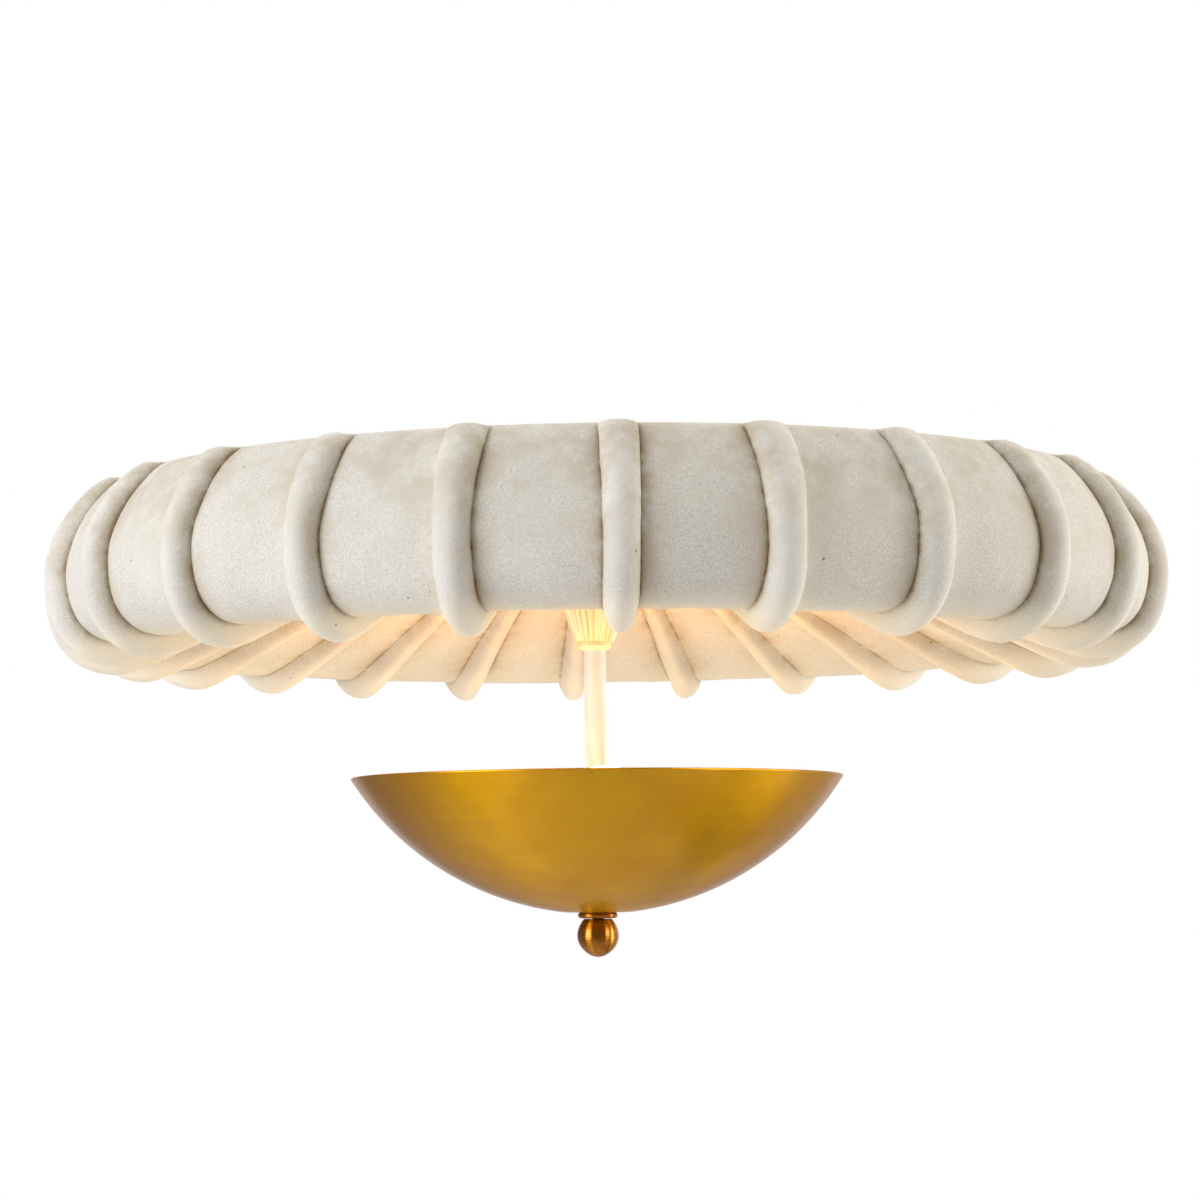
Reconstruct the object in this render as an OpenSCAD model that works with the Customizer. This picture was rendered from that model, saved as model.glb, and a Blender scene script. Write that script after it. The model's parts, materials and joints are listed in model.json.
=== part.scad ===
// Flush mount ceiling light: a ribbed stone-composite shade with a brass bowl hung below it.
// The ceiling is the plane z = 0 and everything hangs below it. Sizes are in millimetres.

/* [Shade] */
// Diameter over the ribs, at their widest
shade_d = 609.6; // [540:0.1:700]
// How far the rim at the ceiling lies inside the widest part of the panels
shoulder_in = 35.5; // [24:0.1:50]
// How far the lowest point of the lip lies inside the widest part of the panels
lip_in = 30.5; // [22:0.1:42]
// Height from the rim down to the widest part
bulge_drop = 51.8; // [42:0.1:60]
// Height from the widest part down to the lip
lip_drop = 36.8; // [28:0.1:46]
// Gap between the ceiling and the rim
ceiling_gap = 1; // [0.5:0.1:3]
// Thickness of the shell
shade_wall = 9; // [7:0.1:11]
// Width of the flat rim that faces the ceiling
rim_w = 5; // [3:0.1:10]
// Diameter of the flat middle of the underside
web_d = 96; // [84:0.1:120]

/* [Ribs] */
// Number of ribs around the shade
rib_count = 24; // [16:1:28]
// Angle that one rib spans around the shade
rib_arc = 3.6; // [3:0.1:5]
// How far a rib stands out where it starts, at the rim
rib_top = 1.5; // [0.5:0.1:5]
// How far a rib stands out at the widest part
rib_side = 8.8; // [6:0.1:12]
// How far a rib stands out under the lip
rib_lip = 11.2; // [7:0.1:14]
// Angle of the first rib, counted from the back-to-front line
rib_start = 2.2; // [0:0.1:14]

/* [Ceiling parts] */
// Length of the mounting strap
strap_len = 108; // [102:1:116]
// Width of the mounting strap
strap_w = 25; // [20:0.5:30]
// Thickness of the mounting strap
strap_t = 2.4; // [1.6:0.1:3.2]
// Spacing of the outer pair of slots
slot_wide = 88.9; // [86:0.1:92]
// Spacing of the inner pair of slots
slot_narrow = 69.9; // [67:0.1:72]
// Width of a slot
slot_w = 4.8; // [4.2:0.1:5.6]
// Length of a slot
slot_len = 8.4; // [7:0.1:9.4]
// Diameter of the ceiling pan
pan_d = 132; // [126:1:150]
// Depth of the ceiling pan
pan_depth = 19.2; // [16:0.1:24]
// Thickness of the pan's sheet steel
pan_t = 1.2; // [0.8:0.1:1.6]
// Thickness of the pads that keep metal off the stone
pad_t = 2; // [1:0.1:3]
// Diameter of the pads
pad_d = 58; // [50:1:60]
// Thickness of the steel backing washer
backing_t = 2; // [1.5:0.1:3]
// Diameter of the steel backing washer
backing_d = 40; // [32:0.5:44]
// Outer diameter of the threaded main nipple
nipple_d = 9.8; // [9.4:0.1:10.4]
// Bore of the main nipple, for the wires
nipple_bore = 6.8; // [5:0.1:7.4]
// How far the main nipple reaches into the stem
nipple_grip = 21; // [12:1:40]
// Width across the flats of the nuts on the main nipple
nut_af = 16; // [14:0.5:19]
// Height of the nuts on the main nipple
nut_h = 3.6; // [3:0.1:6]

/* [Hub and stem] */
// Height of the fluted hub
hub_h = 52.6; // [44:0.1:60]
// Diameter of the hub at the shade
hub_top_d = 60; // [56:0.5:68]
// Diameter of the hub at its foot
hub_foot_d = 21.2; // [20:0.1:26]
// Wall of the hub
hub_wall = 3; // [2.2:0.1:4]
// Thickness of the hub's solid foot
hub_floor = 9; // [6:0.1:12]
// Number of flutes round the hub
flute_count = 24; // [16:1:30]
// Depth of a flute, as a share of the hub's radius
flute_depth = 0.05; // [0.02:0.01:0.08]
// Diameter of the collar under the hub
collar_d = 18.6; // [16:0.1:20]
// Height of the collar
collar_h = 4.3; // [3:0.1:7]
// Outer diameter of the stem
stem_d = 12; // [11.6:0.1:14]

/* [Bowl] */
// Diameter of the bowl at its rim
bowl_d = 268; // [250:1:310]
// Depth of the bowl, measured to where its round bottom would end
bowl_depth = 73.8; // [68:0.1:84]
// Thickness of the spun brass
bowl_t = 1.2; // [0.8:0.1:2]
// How much the flat seat at the bottom shortens the round
seat_rise = 0.9; // [0.6:0.1:3]
// Distance from the ceiling to the bowl's rim
rim_drop = 159.1; // [150:0.1:190]

/* [Finial] */
// Diameter of the check ring under the bowl
ring_d = 21.8; // [18:0.1:26]
// Height of the check ring
ring_h = 3.2; // [2.6:0.1:5]
// Diameter of the finial ball
ball_d = 22.8; // [18:0.1:28]
// Height of the finial ball
ball_h = 20.6; // [18:0.1:26]
// Diameter of the finial stud
stud_d = 6.35; // [5.4:0.05:7]
// How far the stud reaches into the ball
stud_grip = 11; // [10:0.1:13]

/* [Lamp cluster] */
// Number of bulbs
bulb_count = 3; // [3:1:3]
// Diameter of a globe bulb
bulb_d = 50; // [44:0.5:52]
// Distance from the stem's axis to a globe's centre
bulb_reach = 66; // [64:0.5:69]
// Upward tilt of the bulbs
bulb_tilt = 12; // [6:0.5:14]
// How far a globe rises above the bowl's rim
bulb_rise = 4.5; // [2:0.1:8]
// Angle of the first bulb, counted from +X
bulb_start = -86; // [-120:1:-60]
// Thickness of the glass
glass_t = 0.9; // [0.7:0.1:1.5]
// Outer diameter of a bulb's screw cap
cap_d = 11.7; // [11.2:0.1:12]
// Outer diameter of a lampholder
holder_d = 20; // [18:0.5:21]
// Length of a lampholder
holder_len = 22; // [20:0.5:24]
// Diameter of the cluster body
cluster_d = 27; // [26:0.5:32]
// Height of the cluster body
cluster_h = 24; // [23:0.5:30]

/* [Hidden] */

$fn = 96;
eps = 0.01;

// Clearances: between pieces that move, round a thread, and over a rod
move_gap = 0.3;
thread_gap = 0.05;
slip_gap = 0.25;

// Heights down the stack, from the ceiling to the foot of the stem
pan_floor_z = -pan_depth;
web_top_z = pan_floor_z - pad_t;
soffit_z = web_top_z - shade_wall;
lower_pad_z = soffit_z - pad_t;
hub_foot_z = lower_pad_z - hub_h;
collar_z = hub_foot_z - collar_h;
nipple_end_z = collar_z - nipple_grip;

// Outline of the panels, from the rim past the widest part and the lip to the flat middle
panel_r = shade_d / 2 - rib_side;
rim_r = panel_r - shoulder_in;
lip_r = panel_r - lip_in;
rim_z = -ceiling_gap;
bulge_z = rim_z - bulge_drop;
lip_z = bulge_z - lip_drop;
web_r = web_d / 2;

// Bowl: a piece of a sphere whose pole is pressed flat as a seat
bowl_r = bowl_d / 2;
bowl_sphere_r = (pow(bowl_r, 2) + pow(bowl_depth, 2)) / (2 * bowl_depth);
bowl_rim_z = -rim_drop;
bowl_centre_z = bowl_rim_z - bowl_depth + bowl_sphere_r;
seat_z = bowl_rim_z - bowl_depth + seat_rise;
seat_top_z = seat_z + bowl_t;

// Finial stack, from the washers inside the bowl down to the ball
washer_d = ring_d;
rubber_t = 2;
steel_t = 1.2;
rubber_top_z = seat_top_z + rubber_t;
steel_top_z = rubber_top_z + steel_t;
ring_z = seat_z - ring_h;
ball_top_z = ring_z - move_gap;
ball_z = ball_top_z - ball_h;
stud_end_z = ball_top_z - stud_grip;
stud_r = stud_d / 2;

// Lamp cluster: each bulb lies along its own tilted axis, measured by its distance along it
globe_r = bulb_d / 2;
globe_z = bowl_rim_z + bulb_rise - globe_r;
cluster_z = globe_z - bulb_reach * tan(bulb_tilt);
globe_u = bulb_reach / cos(bulb_tilt);
cluster_top_z = cluster_z + cluster_h / 2;
cluster_foot_z = cluster_z - cluster_h / 2;
stem_socket = 5;
boss_r = 8;
boss_u = cluster_d / 2 + 2.5;
cover_t = 2;
cover_z = cluster_foot_z - cover_t;
cavity_wall = 2.5;
holder_floor = 3;
holder_end_u = boss_u + holder_len;
contact_t = 0.6;
contact_r = 3;
tip_h = 1.5;
tip_r = 2.2;
tip_u = boss_u + holder_floor + contact_t + move_gap;
cap_u = tip_u + tip_h;
cap_r = cap_d / 2;
cap_wall = 0.5;
cap_end_u = holder_end_u + 1;
shell_r = cap_r + move_gap;
shell_t = 0.6;
shell_len = holder_len - holder_floor - 2;
stud_nut_af = 11;
stud_nut_h = 3.5;
stem_end_z = cluster_top_z - stem_socket;

function mix(a, b, t) = a + (b - a) * t;

// Point and slope of a cubic curve through four control points
function curve(p, t) =
    p[0] * pow(1 - t, 3) + p[1] * 3 * t * pow(1 - t, 2) + p[2] * 3 * t * t * (1 - t) + p[3] * pow(t, 3);
function slope(p, t) =
    (p[1] - p[0]) * pow(1 - t, 2) + (p[2] - p[1]) * 2 * t * (1 - t) + (p[3] - p[2]) * t * t;
function outward(v) = [-v[1], v[0]] / norm(v);

shoulder = [[rim_r, rim_z], [rim_r + 0.36 * shoulder_in, rim_z],
            [panel_r, bulge_z + 0.4 * bulge_drop], [panel_r, bulge_z]];
lip = [[panel_r, bulge_z], [panel_r, bulge_z - 0.66 * lip_drop],
       [lip_r + 0.64 * lip_in, lip_z], [lip_r, lip_z]];
soffit = [[lip_r, lip_z], [lip_r - 20, lip_z], [web_r + 92, soffit_z], [web_r, soffit_z]];

shoulder_steps = 8;
lip_steps = 6;
soffit_steps = 8;

// One row of the shade per entry: point on the panel, outward direction, and height of a rib there.
// A rib swells down the shoulder, never rises past the flat rim, and thins towards the hub under the shade.
rib_taper = 1.6;
function full_row(p, t, rib) = [curve(p, t), outward(slope(p, t)), rib];
function trimmed(row) =
    let (room = (rim_z - row[0][1]) / max(row[1][1], eps))
    [row[0], row[1], row[1][1] > eps ? min(row[2], room) : row[2]];
shade_rows = concat(
    [for (i = [0 : shoulder_steps - 1]) let (t = i / shoulder_steps)
        trimmed(full_row(shoulder, t, mix(rib_side, rib_top, pow(1 - t, 2))))],
    [for (i = [0 : lip_steps - 1]) full_row(lip, i / lip_steps, mix(rib_side, rib_lip, i / lip_steps))],
    [for (i = [0 : soffit_steps])
        let (t = i / soffit_steps, p = curve(soffit, t))
        full_row(soffit, t, i == soffit_steps ? 0 : rib_lip * pow(p[0] / lip_r, rib_taper))]);

// Across one rib period: crease, roll, crease, then the middle of the panel
rib_pitch = 360 / rib_count;
roll_steps = [-1, -0.85, -0.5, 0, 0.5, 0.85, 1];
shade_columns = [for (k = [0 : rib_count - 1])
    each concat(
        [for (u = roll_steps) [rib_start - 90 + k * rib_pitch + u * rib_arc / 2, sqrt(1 - u * u)]],
        [[rib_start - 90 + (k + 0.5) * rib_pitch, 0]])];

function shade_point(row, column) =
    let (p = row[0] + row[1] * row[2] * column[1])
    [p[0] * cos(column[0]), p[0] * sin(column[0]), p[1]];

// Solid skin of the shade: rows from rim to flat middle, closed by a flat face at each end
module shade_skin() {
    rows = len(shade_rows);
    cols = len(shade_columns);
    points = [for (row = shade_rows) each [for (column = shade_columns) shade_point(row, column)]];
    sides = [for (i = [0 : rows - 2]) each [for (j = [0 : cols - 1])
        let (a = i * cols + j, b = i * cols + (j + 1) % cols)
        each [[a, b, b + cols], [a, b + cols, a + cols]]]];
    top = [for (j = [cols - 1 : -1 : 0]) j];
    bottom = [for (j = [0 : cols - 1]) (rows - 1) * cols + j];
    polyhedron(points, concat([top], sides, [bottom]), convexity = 6);
}

// Hollow above the shade: the panel outline moved in by the wall, open to the ceiling
module shade_hollow() {
    inner = [for (row = shade_rows) row[0] - row[1] * shade_wall];
    mouth_r = rim_r - rim_w;
    rotate_extrude($fn = 192)
        polygon(concat([[0, 1], [mouth_r, 1], [mouth_r, rim_z - shade_wall]], inner, [[0, web_top_z]]));
}

module shade() {
    color("#d8d3c8") difference() {
        shade_skin();
        shade_hollow();
        translate([0, 0, soffit_z - 1]) cylinder(r = nipple_d / 2 + 1.2, h = shade_wall + 2);
    }
}

// A flat round piece with a hole, from z down by its height
module washer(z, d, hole, h) {
    difference() {
        translate([0, 0, z - h]) cylinder(d = d, h = h);
        translate([0, 0, z - h - 1]) cylinder(d = hole, h = h + 2);
    }
}

// A hexagon nut, from z down by its height
module hex_nut(z, af, hole, h) {
    difference() {
        translate([0, 0, z - h]) cylinder(d = af / cos(30), h = h, $fn = 6);
        translate([0, 0, z - h - 1]) cylinder(d = hole, h = h + 2);
    }
}

module slot(x) {
    reach = (slot_len - slot_w) / 2;
    translate([x - reach, 0, -strap_t - 1]) cylinder(d = slot_w, h = strap_t + 2);
    translate([x + reach, 0, -strap_t - 1]) cylinder(d = slot_w, h = strap_t + 2);
    translate([x - reach, -slot_w / 2, -strap_t - 1]) cube([2 * reach, slot_w, strap_t + 2]);
}

ground_x = 17;
ground_d = 4;

module mounting_strap() {
    color("#b9bcc0") difference() {
        intersection() {
            translate([-strap_len / 2, -strap_w / 2, -strap_t]) cube([strap_len, strap_w, strap_t]);
            translate([0, 0, -strap_t - 1]) cylinder(d = strap_len, h = strap_t + 2);
        }
        for (side = [-1, 1]) {
            slot(side * slot_wide / 2);
            slot(side * slot_narrow / 2);
        }
        translate([0, 0, -strap_t - 1]) cylinder(d = nipple_d + 2 * thread_gap, h = strap_t + 2);
        translate([ground_x, 0, -strap_t - 1]) cylinder(d = ground_d + 2 * thread_gap, h = strap_t + 2);
    }
}

module ground_screw() {
    head_d = 7.5;
    head_h = 2.2;
    drive_d = 3;
    color("#2f7d46") difference() {
        union() {
            translate([ground_x, 0, -strap_t]) cylinder(d = ground_d, h = strap_t - 0.2);
            translate([ground_x, 0, -strap_t - head_h]) cylinder(d = head_d, h = head_h);
        }
        translate([ground_x, 0, -strap_t - head_h - 1]) cylinder(d = drive_d, h = 2.2, $fn = 6);
    }
}

module strap_nut() {
    color("#c2c4c6") hex_nut(-strap_t, nut_af, nipple_d + 2 * thread_gap, nut_h);
}

module main_nipple() {
    color("#c8b070") washer(0, nipple_d, nipple_bore, -nipple_end_z);
}

module ceiling_pan() {
    pan_r = pan_d / 2;
    flange = 5;
    corner = 6;
    color("#c9c9c6") rotate_extrude($fn = 128) difference() {
        union() {
            translate([0, pan_floor_z]) square([pan_r - flange - corner, pan_t]);
            translate([pan_r - flange - corner, pan_floor_z + corner]) intersection() {
                difference() {
                    circle(r = corner);
                    circle(r = corner - pan_t);
                }
                translate([0, -corner]) square(corner);
            }
            translate([pan_r - flange - pan_t, pan_floor_z + corner])
                square([pan_t, pan_depth - corner]);
            translate([pan_r - flange - pan_t, -pan_t]) square([flange + pan_t, pan_t]);
        }
        translate([-1, pan_floor_z - 1]) square([1 + nipple_d / 2 + slip_gap, pan_t + 2]);
    }
}

module upper_pad() {
    color("#4a4642") washer(pan_floor_z, pad_d, nipple_d + 2 * slip_gap, pad_t);
}

module lower_pad() {
    color("#4a4642") washer(soffit_z, pad_d, nipple_d + 2 * slip_gap, pad_t);
}

module backing_washer() {
    color("#b0b3b6") washer(lower_pad_z, backing_d, nipple_d + 2 * slip_gap, backing_t);
}

module shade_nut() {
    color("#c2c4c6") hex_nut(lower_pad_z - backing_t, nut_af, nipple_d + 2 * thread_gap, nut_h);
}

// Outline of the hub at the shade, scalloped by its flutes
function hub_outline(r) = [for (i = [0 : 6 * flute_count - 1])
    let (a = i * 60 / flute_count, dip = flute_depth * abs(sin(a * flute_count / 2)))
    r * (1 - flute_depth + dip) * [cos(a), sin(a)]];

module fluted_hub() {
    taper = hub_foot_d / hub_top_d;
    hollow_h = hub_h - hub_floor;
    hollow_foot_r = mix(hub_top_d, hub_foot_d, hollow_h / hub_h) / 2 - hub_wall - 0.5;
    hollow_top_r = hub_top_d / 2 - hub_wall - 1.5;
    color("#e2c977") difference() {
        translate([0, 0, lower_pad_z]) mirror([0, 0, 1])
            linear_extrude(height = hub_h, scale = taper) polygon(hub_outline(hub_top_d / 2));
        translate([0, 0, lower_pad_z - hollow_h])
            cylinder(r1 = hollow_foot_r, r2 = hollow_top_r, h = hollow_h + eps);
        translate([0, 0, hub_foot_z - 1]) cylinder(d = nipple_d + 2 * slip_gap, h = hub_h);
    }
}

module stem_collar() {
    lip_round = 0.8;
    color("#d9bd63") rotate_extrude() difference() {
        translate([0, collar_z]) union() {
            square([collar_d / 2 - lip_round, collar_h]);
            translate([0, lip_round]) square([collar_d / 2, collar_h - 2 * lip_round]);
            for (y = [lip_round, collar_h - lip_round])
                translate([collar_d / 2 - lip_round, y]) circle(r = lip_round, $fn = 32);
        }
        translate([-1, collar_z - 1]) square([1 + nipple_d / 2 + slip_gap, collar_h + 2]);
    }
}

module stem_tube() {
    color("#d9bd63") washer(collar_z, stem_d, nipple_d + 2 * thread_gap, collar_z - stem_end_z);
}

// Places a piece on the axis of one bulb, which then runs along +Z from the cluster's centre
module on_bulb_axis(index) {
    translate([0, 0, cluster_z]) rotate([0, 0, bulb_start + index * 360 / bulb_count])
        rotate([0, 90 - bulb_tilt, 0]) children();
}

module cluster_body() {
    wire_d = 5;
    color("#b98f3c") difference() {
        union() {
            translate([0, 0, cluster_foot_z]) cylinder(d = cluster_d, h = cluster_h);
            for (i = [0 : bulb_count - 1]) on_bulb_axis(i) cylinder(r = boss_r, h = boss_u);
        }
        translate([0, 0, cluster_foot_z - 1])
            cylinder(d = cluster_d - 2 * cavity_wall, h = cluster_h - stem_socket - 1);
        translate([0, 0, stem_end_z]) cylinder(d = stem_d + 2 * thread_gap, h = stem_socket + 1);
        translate([0, 0, stem_end_z - 3]) cylinder(d = nipple_d, h = 4);
        for (i = [0 : bulb_count - 1]) on_bulb_axis(i) cylinder(d = wire_d, h = boss_u + 1);
    }
}

module cluster_cover() {
    color("#b98f3c") washer(cluster_foot_z, cluster_d, stud_d + 2 * thread_gap, cover_t);
}

module stud_nut() {
    color("#c2c4c6") hex_nut(cluster_foot_z + stud_nut_h, stud_nut_af, stud_d + 2 * thread_gap, stud_nut_h);
}

module lampholder(index) {
    color("#e9e4d8") on_bulb_axis(index) difference() {
        translate([0, 0, boss_u]) cylinder(d = holder_d, h = holder_len);
        translate([0, 0, boss_u + holder_floor]) cylinder(r = shell_r + shell_t, h = holder_len);
        translate([0, 0, boss_u - 1]) cylinder(r = 1.6, h = holder_floor + 2);
    }
}

module screw_shell(index) {
    color("#cfa84e") on_bulb_axis(index) difference() {
        translate([0, 0, boss_u + holder_floor]) cylinder(r = shell_r + shell_t, h = shell_len);
        translate([0, 0, boss_u + holder_floor + contact_t]) cylinder(r = shell_r, h = shell_len);
        translate([0, 0, boss_u]) cylinder(r = contact_r + 1, h = holder_floor + 2);
    }
}

module centre_contact(index) {
    color("#d4b45a") on_bulb_axis(index)
        translate([0, 0, boss_u + holder_floor]) cylinder(r = contact_r, h = contact_t);
}

module bulb_cap(index) {
    color("#c9c4b6") on_bulb_axis(index) union() {
        translate([0, 0, tip_u]) cylinder(r1 = tip_r, r2 = tip_r + 1, h = tip_h);
        difference() {
            translate([0, 0, cap_u]) cylinder(r = cap_r, h = cap_end_u - cap_u);
            translate([0, 0, cap_u + 1]) cylinder(r = cap_r - cap_wall, h = cap_end_u - cap_u);
        }
    }
}

// Half outline of the glass, solid to the axis: a round globe on a neck that flares into it
module globe_outline(shrink) {
    join_a = 35;
    r = globe_r - shrink;
    neck_r = cap_r - shrink;
    union() {
        intersection() {
            translate([0, globe_u]) circle(r = r, $fn = 128);
            translate([0, globe_u - r]) square([r, 2 * r]);
        }
        polygon([[0, cap_end_u], [neck_r, cap_end_u], [neck_r, cap_end_u + 1],
                 [r * sin(join_a), globe_u - r * cos(join_a)], [0, globe_u]]);
    }
}

module bulb_globe(index) {
    color("#fdf7ea") on_bulb_axis(index) rotate_extrude() difference() {
        globe_outline(0);
        globe_outline(glass_t);
    }
}

module finial_stud() {
    stud_top_z = cluster_foot_z + stud_nut_h + 1.5;
    color("#c8b070") translate([0, 0, stud_end_z]) cylinder(d = stud_d, h = stud_top_z - stud_end_z);
}

module bowl_spacer() {
    color("#b98f3c") washer(cover_z, 10, stud_d + 2 * slip_gap, cover_z - steel_top_z - move_gap);
}

module steel_washer() {
    color("#b0b3b6") washer(steel_top_z, washer_d, stud_d + 2 * move_gap, steel_t);
}

module rubber_washer() {
    color("#3a3836") washer(rubber_top_z, washer_d, stud_d + 2 * move_gap, rubber_t);
}

// Half outline of the bowl's outside or inside, solid to the axis
module bowl_outline(r, floor_z) {
    intersection() {
        translate([0, bowl_centre_z]) circle(r = r, $fn = 256);
        translate([0, floor_z]) square([bowl_d, bowl_rim_z - floor_z]);
    }
}

module bowl() {
    color("#b8862b") rotate_extrude($fn = 192) difference() {
        bowl_outline(bowl_sphere_r, seat_z);
        translate([0, eps]) bowl_outline(bowl_sphere_r - bowl_t, seat_top_z - eps);
        translate([0, bowl_rim_z - 1])
            square([sqrt(pow(bowl_sphere_r - bowl_t, 2) - pow(bowl_rim_z - bowl_centre_z, 2)), 2]);
        translate([-1, seat_z - 1]) square([1 + stud_r + move_gap, bowl_t + 2]);
    }
}

module check_ring() {
    round_r = ring_h / 2;
    color("#a87422") rotate_extrude() difference() {
        union() {
            translate([0, ring_z]) square([ring_d / 2 - round_r, ring_h]);
            translate([ring_d / 2 - round_r, ring_z + round_r]) circle(r = round_r, $fn = 48);
        }
        translate([-1, ring_z - 1]) square([1 + stud_r + move_gap, ring_h + 2]);
    }
}

// Egg outline of the ball, from its flat top to its pole
ball_r = ball_d / 2;
ball_widest = 0.47;
function ball_point(a) =
    let (top = ball_h * ball_widest * 1.12, foot = ball_h * (1 - ball_widest))
    [ball_r * cos(a), ball_z + foot + (a > 0 ? top : foot) * sin(a)];

module finial_ball() {
    flat_a = asin(1 / 1.12);
    steps = 28;
    color("#9a6418") rotate_extrude() difference() {
        polygon(concat([[0, ball_top_z]],
                       [for (i = [0 : steps]) ball_point(mix(flat_a, -90, i / steps))]));
        translate([-1, ball_top_z - stud_grip - 1]) square([1 + stud_r + thread_gap, stud_grip + 2]);
    }
}

mounting_strap();
ground_screw();
strap_nut();
main_nipple();
ceiling_pan();
upper_pad();
shade();
lower_pad();
backing_washer();
shade_nut();
fluted_hub();
stem_collar();
stem_tube();
cluster_body();
cluster_cover();
stud_nut();
lampholder(0);  // lampholder_1
lampholder(1);  // lampholder_2
lampholder(2);  // lampholder_3
screw_shell(0);  // screw_shell_1
screw_shell(1);  // screw_shell_2
screw_shell(2);  // screw_shell_3
centre_contact(0);  // centre_contact_1
centre_contact(1);  // centre_contact_2
centre_contact(2);  // centre_contact_3
bulb_cap(0);  // bulb_cap_1
bulb_cap(1);  // bulb_cap_2
bulb_cap(2);  // bulb_cap_3
bulb_globe(0);  // bulb_globe_1
bulb_globe(1);  // bulb_globe_2
bulb_globe(2);  // bulb_globe_3
finial_stud();
bowl_spacer();
steel_washer();
rubber_washer();
bowl();
check_ring();
finial_ball();
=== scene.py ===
# %% [markdown]
# # A ribbed stone ceiling light over a brass bowl
# The light hangs from a ceiling: a wide dish of cast stone with rolled ribs, and under it a spun brass
# bowl that throws the light of three bulbs up onto the stone. The CAD model already holds every piece at
# its place, so this notebook loads it, gives each surface a finish, and models again the pieces whose
# surfaces need more detail than a solid carries. All lengths in the scene are metres, and z = 0 is the
# ceiling.

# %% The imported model
import json
import math

import bmesh
import bpy
from mathutils import Matrix, Vector, geometry, noise


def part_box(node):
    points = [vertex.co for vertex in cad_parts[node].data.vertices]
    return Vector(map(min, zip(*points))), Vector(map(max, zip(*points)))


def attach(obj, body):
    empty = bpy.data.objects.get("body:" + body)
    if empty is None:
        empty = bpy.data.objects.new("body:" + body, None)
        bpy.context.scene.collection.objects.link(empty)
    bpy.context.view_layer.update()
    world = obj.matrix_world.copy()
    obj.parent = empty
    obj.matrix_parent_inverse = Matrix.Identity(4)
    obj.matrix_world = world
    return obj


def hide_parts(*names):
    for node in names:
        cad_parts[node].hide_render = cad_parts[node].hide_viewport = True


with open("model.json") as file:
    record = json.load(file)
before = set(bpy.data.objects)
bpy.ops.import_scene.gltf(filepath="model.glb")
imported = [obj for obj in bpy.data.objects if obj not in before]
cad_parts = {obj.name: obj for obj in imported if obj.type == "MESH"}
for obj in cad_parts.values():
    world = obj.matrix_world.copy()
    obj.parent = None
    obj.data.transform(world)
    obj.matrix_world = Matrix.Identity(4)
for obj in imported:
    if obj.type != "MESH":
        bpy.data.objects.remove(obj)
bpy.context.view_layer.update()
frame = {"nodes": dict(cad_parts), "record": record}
MM = 0.001

# %% [markdown]
# ## The camera
# The photograph was taken from almost two metres away and a little above the bowl's foot, looking up by
# five degrees. Its frame was cropped off centre, which a camera does with a shifted lens, so the camera
# aims to the left of the light and the shift brings it back. A turn about its own axis lifts the right
# side by half a degree.

# %% The camera
PHOTO_PX = 1200
SENSOR_MM = 36.0
EYE_DISTANCE = 1.777
EYE_HEIGHT = -0.2206
AXIS_OFFSET_PX = 144.0
AXIS_PX = 595.3
HORIZON_PX = 893.6
PX_PER_RADIAN = 3265.6
ROLL = 0.0076

aim_left = math.atan(AXIS_OFFSET_PX / PX_PER_RADIAN)
level_px = PX_PER_RADIAN * math.cos(aim_left)
aim_up = math.atan((HORIZON_PX - PHOTO_PX / 2) / level_px)
focal_px = level_px * math.cos(aim_up)

camera_data = bpy.data.cameras.new("studio_camera")
camera_data.sensor_width = SENSOR_MM
camera_data.lens = focal_px * SENSOR_MM / PHOTO_PX
camera_data.shift_x = (PHOTO_PX / 2 + focal_px * math.tan(aim_left) / math.cos(aim_up) - AXIS_PX) / PHOTO_PX
camera = bpy.data.objects.new("studio_camera", camera_data)
bpy.context.scene.collection.objects.link(camera)
camera.matrix_world = (
    Matrix.Translation((0, -EYE_DISTANCE, EYE_HEIGHT))
    @ Matrix.Rotation(aim_left, 4, "Z")
    @ Matrix.Rotation(math.pi / 2 + aim_up, 4, "X")
    @ Matrix.Rotation(-ROLL, 4, "Z")
)
bpy.context.scene.camera = camera
bpy.context.scene.view_settings.view_transform = "Standard"
print("lens", round(camera_data.lens, 2), "mm, shift", round(camera_data.shift_x, 4))

# %% [markdown]
# ## Sockets that do arithmetic
# A procedural finish is mostly arithmetic on noise, and drawn as nodes it is hard to read. A small class
# wraps a shader socket, so that `grain * 0.3 + 0.5` adds the Math nodes, and one method of the finish
# makes any other node from its type, its settings and the values or links of its sockets.


# %% Sockets that do arithmetic
class Signal:
    """A socket of a finish on which Python's operators add Math nodes."""

    def __init__(self, finish, socket):
        self.finish = finish
        self.socket = socket

    def _math(self, operation, first, second):
        return self.finish.node("ShaderNodeMath", {"operation": operation}, {0: first, 1: second})

    def __add__(self, other):
        return self._math("ADD", self, other)

    def __rsub__(self, other):
        return self._math("SUBTRACT", other, self)

    def __mul__(self, other):
        return self._math("MULTIPLY", self, other)

    def __truediv__(self, other):
        return self._math("DIVIDE", self, other)

    def __pow__(self, other):
        return self._math("POWER", self, other)

    __radd__ = __add__


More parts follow.
